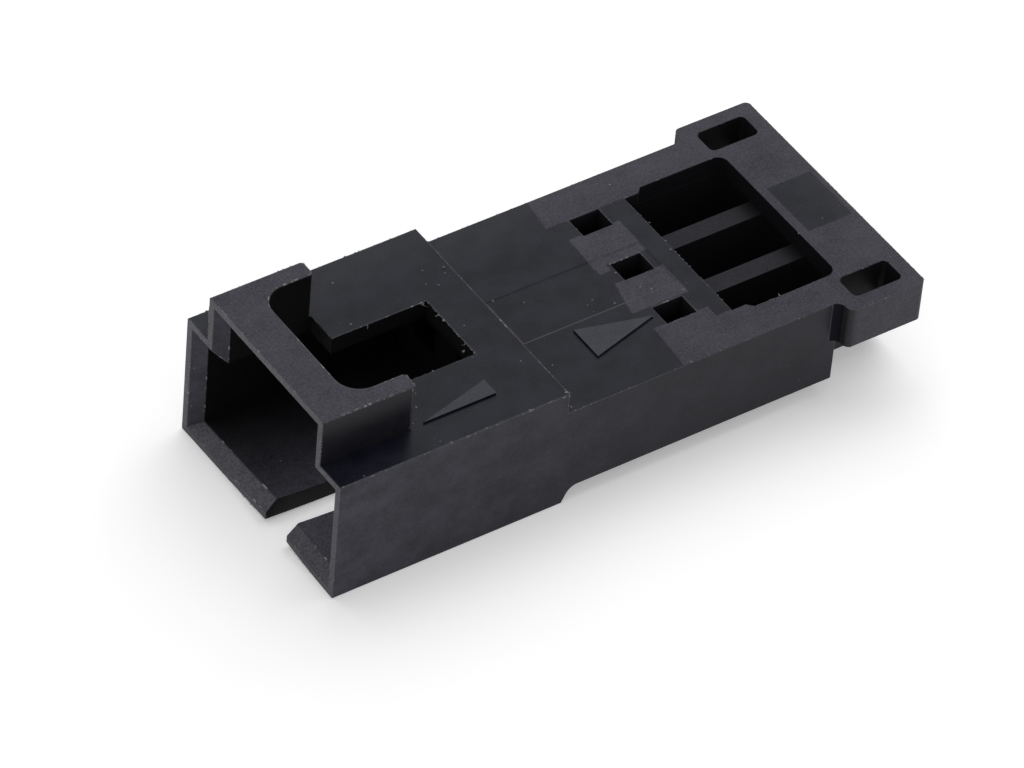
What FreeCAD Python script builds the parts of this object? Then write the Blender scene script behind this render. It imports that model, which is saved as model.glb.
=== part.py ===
import FreeCAD, Part
import math
import os

import Sketcher

# Wire to board connector housing: one black moulding that carries three crimped contacts.
# X runs from the mating mouth to the wire end, Y across, Z up from the shroud's underside.
# Every size that can be set by itself is one row of this sheet, in millimetres.
# Places along X are measured from the mating mouth, and heights from the shroud's underside.
SIZES = [
    ("pitch", 2.54, "spacing of the contacts across the housing"),
    ("ways", 3, "number of contacts"),
    ("body_width", 9.5, "shroud and rear body, across"),
    ("wall", 0.7, "wall of the shroud and of the bridge over it"),
    ("shroud_length", 9.15, "mouth to the step down to the rear body's top"),
    ("shroud_height", 5.11, "height of the shroud's main top face"),
    ("mouth_depth", 8.3, "depth of the mating cavity"),
    ("lead_in", 0.42, "chamfer inside the mating mouth"),
    ("bridge_width", 7.0, "raised bridge over the mouth, across"),
    ("bridge_height", 7.05, "height of the bridge's top"),
    ("bridge_bar", 1.5, "front bar of the bridge, along X"),
    ("bridge_length", 3.67, "mouth to the ends of the bridge's two legs"),
    ("bridge_corner", 0.9, "round inside the bridge's U"),
    ("leg_round", 0.15, "round on the standing corners of the legs"),
    ("latch_window_end", 7.49, "mouth to the far end of the latch window"),
    ("latch_window_width", 3.0, "latch window, across"),
    ("key_slot_width", 1.3, "polarising slot in the floor of the mouth"),
    ("key_slot_offset", 1.2, "slot's centre line, to the -Y side"),
    ("key_slot_length", 6.5, "slot, from the mouth inwards"),
    ("rear_top", 4.25, "height of the rear body's top face"),
    ("rear_floor", 0.66, "height of the rear body's underside"),
    ("floor_step", 9.2, "mouth to the step up in the underside"),
    ("floor_step_run", 0.32, "slope of that step, along X"),
    ("floor_step_round", 0.5, "concave round at the top of that step"),
    ("rear_end", 20.4, "mouth to the end of the rear body's sides"),
    ("length", 23.6, "mouth to the wire end"),
    ("neck_width", 7.34, "wire entry block behind the rear body, across"),
    ("ear_span", 10.74, "mounting ears, tip to tip"),
    ("ear_thickness", 1.72, "ears, down from the rear body's top face"),
    ("ear_root_round", 0.34, "concave round where an ear leaves the side"),
    ("ear_corner_round", 0.24, "round on the ears' corners"),
    ("ear_slot_width", 1.07, "slot in each ear, across"),
    ("ear_slot_length", 2.04, "slot in each ear, along X"),
    ("ear_slot_edge", 0.6, "wire end to the slot"),
    ("ear_slot_rim", 0.54, "ear tip to the slot"),
    ("ear_slot_round", 0.22, "round in the slot's corners"),
    ("contact_bore_width", 1.8, "contact bore, across"),
    ("contact_bore_floor", 1.36, "height of a contact bore's floor"),
    ("contact_bore_top", 3.5, "height of a contact bore's roof"),
    ("contact_stop", 1.0, "wall in front of the contacts, which stops them"),
    ("pin_hole", 1.2, "square hole in that wall for the contact's pin"),
    ("wire_lead_in", 0.2, "chamfer round each wire entry"),
    ("lock_window_start", 14.58, "mouth to the contact lock windows"),
    ("lock_window_length", 1.22, "lock window, along X"),
    ("lock_window_width", 0.91, "lock window, across"),
    ("lock_window_shift", 0.27, "lock windows, off the contacts' centre lines to +Y"),
    ("bay_start", 16.9, "mouth to the open bay over the contacts"),
    ("bay_jog", 17.48, "mouth to where the open bay starts to widen"),
    ("bay_end", 21.17, "mouth to the rear wall of the open bay"),
    ("bay_front_width", 6.52, "open bay before it widens, across"),
    ("bay_width", 6.96, "open bay behind its jogs, across"),
    ("bay_round", 0.4, "round in the open bay's rear corners"),
    ("panel_start", 9.7, "mouth to the sunk panel on the rear body's top"),
    ("panel_end", 16.1, "mouth to the far end of the sunk panel"),
    ("panel_width", 2.4, "sunk panel, across"),
    ("panel_depth", 0.03, "sunk panel, below the top face"),
    ("arrow_start", 11.55, "mouth to the base of the raised arrow"),
    ("arrow_length", 2.78, "raised arrow, base to tip"),
    ("arrow_width", 1.49, "base of the raised arrow"),
    ("arrow_offset", 2.235, "raised arrow's centre line, to the -Y side"),
    ("mark_height", 0.08, "arrow and wedge, above their faces"),
    ("wedge_start", 4.07, "mouth to the tip of the small wedge on the shroud"),
    ("wedge_length", 2.92, "small wedge, along X"),
    ("wedge_offset", 3.51, "outer edge of the small wedge, to the -Y side"),
    ("wedge_width", 0.74, "wide end of the small wedge"),
    ("edge_round", 0.05, "round along the shroud's outer long edges"),
]

# Points count as lying on a plane within this distance.
NEAR = 1e-4


class Size:
    """A length: its value now, and the formula that binds it to the sheet."""

    def __init__(self, value, formula=None):
        self.value = value
        self.formula = formula or repr(value)

    def combine(self, sign, value, other):
        return Size(value, f"({self.formula} {sign} {other.formula})")

    def __add__(self, other):
        return self.combine("+", self.value + other.value, other)

    def __sub__(self, other):
        return self.combine("-", self.value - other.value, other)

    def __mul__(self, other):
        return self.combine("*", self.value * other.value, other)

    def __truediv__(self, other):
        return self.combine("/", self.value / other.value, other)

    def __neg__(self):
        return ZERO - self


ZERO, ONE, TWO = Size(0), Size(1), Size(2)


def make_sheet(doc):
    """Writes the driving sizes to a sheet and returns them by name."""
    sheet = doc.addObject("Spreadsheet::Sheet", "sizes")
    named = {}
    for row, (name, value, note) in enumerate(SIZES, start=1):
        sheet.set(f"A{row}", name)
        sheet.set(f"B{row}", str(value))
        sheet.set(f"C{row}", note)
        sheet.setAlias(f"B{row}", name)
        named[name] = Size(value, f"sizes.{name}")
    doc.recompute()
    return named


def origin_plane(body, role):
    """One of the body's own origin planes."""
    return next(item for item in body.Origin.OriginFeatures if item.Role == role)


def new_sketch(body, name, role, offset):
    """A sketch on one of the body's origin planes, moved along that plane's normal."""
    sketch = body.newObject("Sketcher::SketchObject", name)
    sketch.AttachmentSupport = [(origin_plane(body, role), "")]
    sketch.MapMode = "FlatFace"
    sketch.setExpression("AttachmentOffset.Base.z", offset.formula)
    return sketch


def pin(sketch, element, position, x, y):
    """Dimensions one point of a sketch from the sketch's origin."""
    # A sketch numbers its own X axis -1 and its Y axis -2, and its origin is the first point of -1.
    for kind, axis, place in (("DistanceX", -2, x), ("DistanceY", -1, y)):
        if place.value == 0:
            sketch.addConstraint(Sketcher.Constraint("PointOnObject", element, position, axis))
            continue
        forward = place.value > 0
        ends = (-1, 1, element, position) if forward else (element, position, -1, 1)
        index = sketch.addConstraint(Sketcher.Constraint(kind, *ends, abs(place.value)))
        sketch.setExpression(f"Constraints[{index}]", place.formula if forward else (-place).formula)


def round_corner(sketch, before, after, corner, place, back, ahead):
    """Joins two lines with a tangent arc, and dimensions the corner that they would meet in."""
    x, y, radius = corner
    half = back.getAngle(ahead) / 2
    middle = place + FreeCAD.Vector(back + ahead).normalize() * (radius.value / math.sin(half))
    reach = radius.value / math.tan(half)
    arms = [place + way * reach - middle for way in (back, ahead)]
    start, stop = [math.atan2(arm.y, arm.x) for arm in arms]
    leftwards = (stop - start) % math.tau < math.pi
    if not leftwards:
        start, stop = stop, start
    circle = Part.Circle(middle, FreeCAD.Vector(0, 0, 1), radius.value)
    arc = sketch.addGeometry(Part.ArcOfCircle(circle, start, start + (stop - start) % math.tau))
    first, last = (1, 2) if leftwards else (2, 1)
    sketch.addConstraint(Sketcher.Constraint("Tangent", before, 2, arc, first))
    sketch.addConstraint(Sketcher.Constraint("Tangent", after, 1, arc, last))
    index = sketch.addConstraint(Sketcher.Constraint("Radius", arc, radius.value))
    sketch.setExpression(f"Constraints[{index}]", radius.formula)
    point = sketch.addGeometry(Part.Point(place), True)
    for line in (before, after):
        sketch.addConstraint(Sketcher.Constraint("PointOnObject", point, 1, line))
    pin(sketch, point, 1, x, y)


def outline(sketch, corners):
    """A closed, fully dimensioned outline through (x, y) and (x, y, round) corners."""
    places = [FreeCAD.Vector(corner[0].value, corner[1].value, 0) for corner in corners]
    count = len(corners)
    ahead = [FreeCAD.Vector(places[(i + 1) % count] - places[i]).normalize() for i in range(count)]
    reach = []
    for i, corner in enumerate(corners):
        half = (-ahead[i - 1]).getAngle(ahead[i]) / 2
        reach.append(corner[2].value / math.tan(half) if len(corner) == 3 else 0)
    lines = []
    for i in range(count):
        after = (i + 1) % count
        start = places[i] + ahead[i] * reach[i]
        stop = places[after] - ahead[i] * reach[after]
        lines.append(sketch.addGeometry(Part.LineSegment(start, stop)))
    for i, corner in enumerate(corners):
        if len(corner) == 3:
            round_corner(sketch, lines[i - 1], lines[i], corner, places[i], -ahead[i - 1], ahead[i])
        else:
            sketch.addConstraint(Sketcher.Constraint("Coincident", lines[i - 1], 2, lines[i], 1))
            pin(sketch, lines[i], 1, corner[0], corner[1])


def box_corners(x_low, x_high, y_low, y_high, radius=None):
    """The four corners of a rectangle, all round or all sharp."""
    corners = [(x_low, y_low), (x_high, y_low), (x_high, y_high), (x_low, y_high)]
    return [(*corner, radius) for corner in corners] if radius else corners


def finish(body, feature, grows):
    """Builds a feature and makes sure that it changed the solid the way it should."""
    before = feature.BaseFeature.Shape.Volume if feature.BaseFeature else 0
    body.Document.recompute()
    change = feature.Shape.Volume - before
    if change == 0 or (change > 0) != grows:
        raise RuntimeError(f"{feature.Label} changed the volume by {change:.4f}")
    return feature


def pad(body, name, role, offset, corners, length):
    """Adds an outline's prism, along the plane's normal."""
    sketch = new_sketch(body, f"{name}_outline", role, offset)
    outline(sketch, corners)
    feature = body.newObject("PartDesign::Pad", name)
    feature.Profile = sketch
    feature.setExpression("Length", length.formula)
    return finish(body, feature, grows=True)


def pocket(body, name, role, offset, corners, depth, along_normal=False):
    """Cuts an outline's prism, against the plane's normal unless told otherwise."""
    sketch = new_sketch(body, f"{name}_outline", role, offset)
    outline(sketch, corners)
    feature = body.newObject("PartDesign::Pocket", name)
    feature.Profile = sketch
    feature.Reversed = along_normal
    feature.setExpression("Length", depth.formula)
    return finish(body, feature, grows=False)


def repeat(body, feature, across, s):
    """Repeats a cut for each contact, along the axis of its sketch that runs across."""
    row = body.newObject("PartDesign::LinearPattern", f"{feature.Label}s")
    row.Originals = [feature]
    row.Direction = (feature.Profile[0], [across])
    row.setExpression("Length", contact_spread(s).formula)
    row.setExpression("Occurrences", s["ways"].formula)
    body.Tip = row
    body.Document.recompute()


def dress(body, kind, name, size, test):
    """Rounds or chamfers the edges that a test picks by their ends and middle."""
    base = body.Tip
    names = []
    for number, edge in enumerate(base.Shape.Edges, start=1):
        middle = edge.valueAt((edge.FirstParameter + edge.LastParameter) / 2)
        if test([vertex.Point for vertex in edge.Vertexes] + [middle]):
            names.append(f"Edge{number}")
    if not names:
        raise RuntimeError(f"{name} found no edge")
    feature = body.newObject(kind, name)
    feature.Base = (base, names)
    feature.setExpression("Radius" if kind.endswith("Fillet") else "Size", size.formula)
    finish(body, feature, grows=False)


def on(points, axis, place):
    """True if every point lies at one place along an axis."""
    return all(abs(getattr(point, axis) - place.value) < NEAR for point in points)


def between(points, axis, low, high):
    """True if every point lies within a stretch along an axis."""
    return all(low.value - NEAR < getattr(point, axis) < high.value + NEAR for point in points)


def contact_spread(s):
    """The distance from the first contact to the last."""
    return s["pitch"] * (s["ways"] - ONE)


def shroud_and_rear(body, s):
    """The main block: one side profile with its steps, top and underside."""
    profile = [
        (ZERO, ZERO),
        (s["floor_step"], ZERO),
        (s["floor_step"] + s["floor_step_run"], s["rear_floor"], s["floor_step_round"]),
        (s["rear_end"], s["rear_floor"]),
        (s["rear_end"], s["rear_top"]),
        (s["shroud_length"], s["rear_top"]),
        (s["shroud_length"], s["shroud_height"]),
        (ZERO, s["shroud_height"]),
    ]
    pad(body, "main_block", "XZ_Plane", -(s["body_width"] / TWO), profile, s["body_width"])


def bridge(body, s):
    """The raised bridge over the mouth, before it is hollowed."""
    half = s["bridge_width"] / TWO
    corners = box_corners(-half, half, s["shroud_height"] - s["wall"], s["bridge_height"])
    pad(body, "bridge_block", "YZ_Plane", ZERO, corners, s["bridge_length"])


def neck_and_ears(body, s):
    """The wire entry block, and the flange whose two slotted ears stand out of the sides."""
    half = s["neck_width"] / TWO
    neck = box_corners(s["rear_end"], s["length"], -half, half)
    pad(body, "neck", "XY_Plane", s["rear_floor"], neck, s["rear_top"] - s["rear_floor"])

    side, tip = s["body_width"] / TWO, s["ear_span"] / TWO
    root, corner = s["ear_root_round"], s["ear_corner_round"]
    inside = s["rear_end"] - root * TWO
    flange = [
        (inside, -side),
        (s["rear_end"], -side, root),
        (s["rear_end"], -tip, corner),
        (s["length"], -tip, corner),
        (s["length"], tip, corner),
        (s["rear_end"], tip, corner),
        (s["rear_end"], side, root),
        (inside, side),
    ]
    pad(body, "flange", "XY_Plane", s["rear_top"] - s["ear_thickness"], flange, s["ear_thickness"])

    outer = tip - s["ear_slot_rim"]
    back = s["length"] - s["ear_slot_edge"]
    slot = box_corners(
        back - s["ear_slot_length"], back, outer - s["ear_slot_width"], outer, s["ear_slot_round"]
    )
    cut = pocket(body, "ear_slot", "XY_Plane", s["rear_top"], slot, s["ear_thickness"])
    mirror = body.newObject("PartDesign::Mirrored", "other_ear_slot")
    mirror.Originals = [cut]
    mirror.MirrorPlane = (origin_plane(body, "XZ_Plane"), [""])
    body.Tip = mirror
    body.Document.recompute()


def mouth(body, s):
    """The mating cavity: the stepped mouth under the bridge, and the plain cavity behind it."""
    side = s["body_width"] / TWO - s["wall"]
    middle = s["bridge_width"] / TWO - s["wall"]
    roof, high_roof = s["shroud_height"] - s["wall"], s["bridge_height"] - s["wall"]
    stepped = [
        (-side, s["wall"]),
        (side, s["wall"]),
        (side, roof),
        (middle, roof),
        (middle, high_roof),
        (-middle, high_roof),
        (-middle, roof),
        (-side, roof),
    ]
    pocket(body, "mouth", "YZ_Plane", ZERO, stepped, s["bridge_length"], along_normal=True)
    cavity = box_corners(-side, side, s["wall"], roof)
    pocket(body, "mating_cavity", "YZ_Plane", ZERO, cavity, s["mouth_depth"], along_normal=True)

    def rim(points):
        inside = between(points, "y", -side, side) and between(points, "z", s["wall"], high_roof)
        return on(points, "x", ZERO) and inside

    dress(body, "PartDesign::Chamfer", "mouth_lead_in", s["lead_in"], rim)


def bridge_opening(body, s):
    """The U of the bridge and the narrower latch window that carries on behind it."""
    half = s["bridge_width"] / TWO - s["wall"]
    behind = s["bridge_length"] + s["wall"]
    opening = [
        (s["bridge_bar"], -half, s["bridge_corner"]),
        (behind, -half),
        (behind, half),
        (s["bridge_bar"], half, s["bridge_corner"]),
    ]
    pocket(body, "bridge_opening", "XY_Plane", s["bridge_height"], opening, s["wall"])
    half = s["latch_window_width"] / TWO
    window = box_corners(s["bridge_bar"], s["latch_window_end"], -half, half)
    pocket(body, "latch_window", "XY_Plane", s["shroud_height"], window, s["wall"])


def key_slot(body, s):
    """The slot through the mouth's floor that keeps the mating half the right way up."""
    low = -s["key_slot_offset"] - s["key_slot_width"] / TWO
    slot = box_corners(-s["wall"], s["key_slot_length"], low, low + s["key_slot_width"])
    pocket(body, "key_slot", "XY_Plane", s["wall"], slot, s["wall"])


def contact_bores(body, s):
    """The bores from the wire end, the pin holes into the mating cavity and the lock windows."""
    first = -(contact_spread(s) / TWO)
    half = s["contact_bore_width"] / TWO
    stop = s["mouth_depth"] + s["contact_stop"]
    bore = box_corners(first - half, first + half, s["contact_bore_floor"], s["contact_bore_top"])
    cut = pocket(body, "contact_bore", "YZ_Plane", s["length"], bore, s["length"] - stop)
    repeat(body, cut, "H_Axis", s)

    def entry(points):
        inside = between(points, "z", s["contact_bore_floor"], s["contact_bore_top"])
        return on(points, "x", s["length"]) and inside and between(points, "y", first - half, half - first)

    dress(body, "PartDesign::Chamfer", "wire_lead_ins", s["wire_lead_in"], entry)

    middle = (s["contact_bore_floor"] + s["contact_bore_top"]) / TWO
    half = s["pin_hole"] / TWO
    hole = box_corners(first - half, first + half, middle - half, middle + half)
    repeat(body, pocket(body, "pin_hole", "YZ_Plane", stop, hole, s["contact_stop"]), "H_Axis", s)

    start = s["lock_window_start"]
    low = first + s["lock_window_shift"] - s["lock_window_width"] / TWO
    window = box_corners(start, start + s["lock_window_length"], low, low + s["lock_window_width"])
    depth = s["rear_top"] - middle
    repeat(body, pocket(body, "lock_window", "XY_Plane", s["rear_top"], window, depth), "V_Axis", s)


def open_bay(body, s):
    """The opening over the contacts, which leaves the walls between the bores as low ribs."""
    front, rear = s["bay_front_width"] / TWO, s["bay_width"] / TWO
    widened = s["bay_jog"] + rear - front
    bay = [
        (s["bay_start"], -front),
        (s["bay_jog"], -front),
        (widened, -rear),
        (s["bay_end"], -rear, s["bay_round"]),
        (s["bay_end"], rear, s["bay_round"]),
        (widened, rear),
        (s["bay_jog"], front),
        (s["bay_start"], front),
    ]
    pocket(body, "open_bay", "XY_Plane", s["rear_top"], bay, s["rear_top"] - s["contact_bore_top"])


def marks(body, s):
    """The sunk panel, the raised arrow at the first contact and the small wedge on the shroud."""
    half = s["panel_width"] / TWO
    panel = box_corners(s["panel_start"], s["panel_end"], -half, half)
    pocket(body, "panel", "XY_Plane", s["rear_top"], panel, s["panel_depth"])

    centre, half = -s["arrow_offset"], s["arrow_width"] / TWO
    base = s["arrow_start"]
    arrow = [(base, centre - half), (base + s["arrow_length"], centre), (base, centre + half)]
    pad(body, "arrow", "XY_Plane", s["rear_top"], arrow, s["mark_height"])

    tip, end, edge = s["wedge_start"], s["wedge_start"] + s["wedge_length"], -s["wedge_offset"]
    wedge = [(tip, edge), (end, edge), (end, edge + s["wedge_width"])]
    pad(body, "wedge", "XY_Plane", s["shroud_height"], wedge, s["mark_height"])


def rounds(body, s):
    """Rounds on the legs' standing corners and along the outer long edges."""
    outer = s["bridge_width"] / TWO
    inner = outer - s["wall"]

    def leg_corner(points):
        standing = between(points, "z", s["shroud_height"], s["bridge_height"])
        upright = points[0].z != points[1].z
        at_side = any(on(points, "y", place) for place in (outer, -outer, inner, -inner))
        return upright and standing and at_side and on(points, "x", s["bridge_length"])

    def long_edge(points):
        side = s["body_width"] / TWO
        corners = [(side, ZERO), (side, s["shroud_height"]), (outer, s["bridge_height"])]
        for across, height in corners:
            at_side = on(points, "y", across) or on(points, "y", -across)
            if at_side and on(points, "z", height):
                return between(points, "x", ZERO, s["floor_step"])
        return False

    dress(body, "PartDesign::Fillet", "leg_rounds", s["leg_round"], leg_corner)
    dress(body, "PartDesign::Fillet", "long_rounds", s["edge_round"], long_edge)


def make_housing(doc, s):
    """The whole housing as one body, with its origin under the middle of its length."""
    body = doc.addObject("PartDesign::Body", "housing")
    shroud_and_rear(body, s)
    bridge(body, s)
    neck_and_ears(body, s)
    mouth(body, s)
    bridge_opening(body, s)
    key_slot(body, s)
    contact_bores(body, s)
    open_bay(body, s)
    marks(body, s)
    rounds(body, s)
    body.setExpression("Placement.Base.x", (-(s["length"] / TWO)).formula)
    doc.recompute()
    return body


def check(doc, parts):
    """Stops the script if any object failed, or a part is not one valid solid."""
    for item in doc.Objects:
        if "Invalid" in item.State or "Error" in item.State:
            raise RuntimeError(f"{item.Label} failed: {item.State}")
    for item in parts:
        if item.Shape.isNull() or not item.Shape.isValid() or len(item.Shape.Solids) != 1:
            raise RuntimeError(f"{item.Label} is not one valid solid")


def main():
    doc = FreeCAD.newDocument("connector_housing")
    parts = [make_housing(doc, make_sheet(doc))]
    check(doc, parts)
    os.makedirs("parts", exist_ok=True)
    for item in parts:
        item.Shape.exportStep(f"parts/{item.Label}.step")
        box = item.Shape.BoundBox
        reach = f"{box.XLength:.2f} x {box.YLength:.2f} x {box.ZLength:.2f} mm"
        print(f"{item.Label}: {item.Shape.Volume:.2f} mm3, {reach}")


main()
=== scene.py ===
"""Looks of a black wire to board connector housing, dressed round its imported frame."""

import math
import random

import bmesh
import bpy
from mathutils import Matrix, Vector, noise
from mathutils.geometry import intersect_point_line


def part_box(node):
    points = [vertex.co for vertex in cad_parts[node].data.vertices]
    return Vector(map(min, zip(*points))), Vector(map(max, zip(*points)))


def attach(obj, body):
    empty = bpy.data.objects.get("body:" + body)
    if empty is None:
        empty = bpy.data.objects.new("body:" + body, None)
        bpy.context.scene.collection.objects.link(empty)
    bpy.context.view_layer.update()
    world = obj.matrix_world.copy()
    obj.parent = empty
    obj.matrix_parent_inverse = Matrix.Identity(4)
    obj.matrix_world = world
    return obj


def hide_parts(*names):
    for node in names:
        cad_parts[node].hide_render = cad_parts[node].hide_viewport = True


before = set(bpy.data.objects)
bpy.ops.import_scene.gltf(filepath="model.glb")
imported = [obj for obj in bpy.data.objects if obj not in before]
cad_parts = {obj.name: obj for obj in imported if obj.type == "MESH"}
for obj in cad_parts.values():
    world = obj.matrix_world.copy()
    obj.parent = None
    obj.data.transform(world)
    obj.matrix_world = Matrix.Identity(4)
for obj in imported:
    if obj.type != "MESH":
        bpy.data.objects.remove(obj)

bl_info = {
    "name": "Connector Housing Looks",
    "version": (1, 0, 0),
    "blender": (4, 5, 0),
    "location": "3D View > Sidebar > Housing",
    "description": "Gives the housing its plastic, its worn edges, its burrs and a white studio",
    "category": "Object",
}

MM = 0.001
LOW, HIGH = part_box("housing")
# Faces that meet at less than this angle are shaded as one smooth face.
SMOOTH_ANGLE = math.radians(40)


def from_mouth(x, y, z=0.0):
    """A point given in millimetres from the middle of the mouth's floor edge, in the frame."""
    return Vector((LOW.x + x * MM, y * MM, LOW.z + z * MM))


class ShellSettings(bpy.types.PropertyGroup):
    """Sizes of the moulding's fine shape, which the solid holds with plain sharp edges."""

    weld: bpy.props.FloatProperty(
        name="Weld", description="Vertices nearer than this become one",
        default=0.001 * MM, unit="LENGTH", precision=6)
    flat: bpy.props.FloatProperty(
        name="Flat", description="Faces within this angle of each other become one face",
        default=math.radians(0.5), subtype="ANGLE")
    sharp: bpy.props.FloatProperty(
        name="Sharp", description="Edges that turn by more than this are broken",
        default=math.radians(35.0), subtype="ANGLE")
    edge: bpy.props.FloatProperty(
        name="Edge break", description="How far a broken edge reaches into its faces",
        default=0.03 * MM, unit="LENGTH", precision=6)
    widest_round: bpy.props.FloatProperty(
        name="Widest edge round", description="Slanted strips narrower than this count as edges",
        default=0.06 * MM, unit="LENGTH", precision=6)
    lowest_wall: bpy.props.FloatProperty(
        name="Lowest wall", description="Edges of faces narrower than this are left sharp",
        default=0.1 * MM, unit="LENGTH", precision=6)
    thin_strip: bpy.props.FloatProperty(
        name="Thin strip", description="Edges of strips narrower than this are left sharp",
        default=0.07 * MM, unit="LENGTH", precision=6)
    shortest: bpy.props.FloatProperty(
        name="Shortest edge", description="Shorter edges are left sharp",
        default=0.12 * MM, unit="LENGTH", precision=6)
    panel_draw: bpy.props.FloatProperty(
        name="Panel draw", description="How far the sunk panel's low walls lean in",
        default=0.08 * MM, unit="LENGTH", precision=6)


class WarpSettings(bpy.types.PropertyGroup):
    """How the two lips of the mouth's floor bow up beside the key slot."""

    near_rise: bpy.props.FloatProperty(
        name="Near rise", description="How far the near lip stands up at the slot, at the mouth",
        default=0.2 * MM, unit="LENGTH", precision=6)
    far_rise: bpy.props.FloatProperty(
        name="Far rise", description="How far the far lip's underside stands up there",
        default=0.13 * MM, unit="LENGTH", precision=6)
    far_swell: bpy.props.FloatProperty(
        name="Far swell", description="How much thicker the far lip is there",
        default=0.13 * MM, unit="LENGTH", precision=6)
    reach: bpy.props.FloatProperty(
        name="Reach", description="Depth into the mouth at which the floor is flat again",
        default=4.0 * MM, unit="LENGTH", precision=6)
    root: bpy.props.FloatProperty(
        name="Root", description="Distance from the middle at which the lips leave the flat",
        default=4.2 * MM, unit="LENGTH", precision=6)
    cuts: bpy.props.IntProperty(
        name="Cuts", description="Cuts across each lip, so that it can bow", default=8, min=2)


class BurrSettings(bpy.types.PropertyGroup):
    """Crumbs and threads of torn plastic that the mould left along the edges."""

    smallest: bpy.props.FloatProperty(
        name="Smallest crumb", description="Radius of the smallest crumb",
        default=0.012 * MM, unit="LENGTH", precision=6)
    largest: bpy.props.FloatProperty(
        name="Largest crumb", description="Radius of the largest crumb",
        default=0.034 * MM, unit="LENGTH", precision=6)
    spacing: bpy.props.FloatProperty(
        name="Crumb spacing", description="Mean distance between two crumbs along an edge",
        default=0.16 * MM, unit="LENGTH", precision=6)
    thread: bpy.props.FloatProperty(
        name="Thread radius", description="Radius of a thread of flash",
        default=0.02 * MM, unit="LENGTH", precision=6)
    seed: bpy.props.IntProperty(
        name="Seed", description="Start of the random draws", default=7, min=1)


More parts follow.
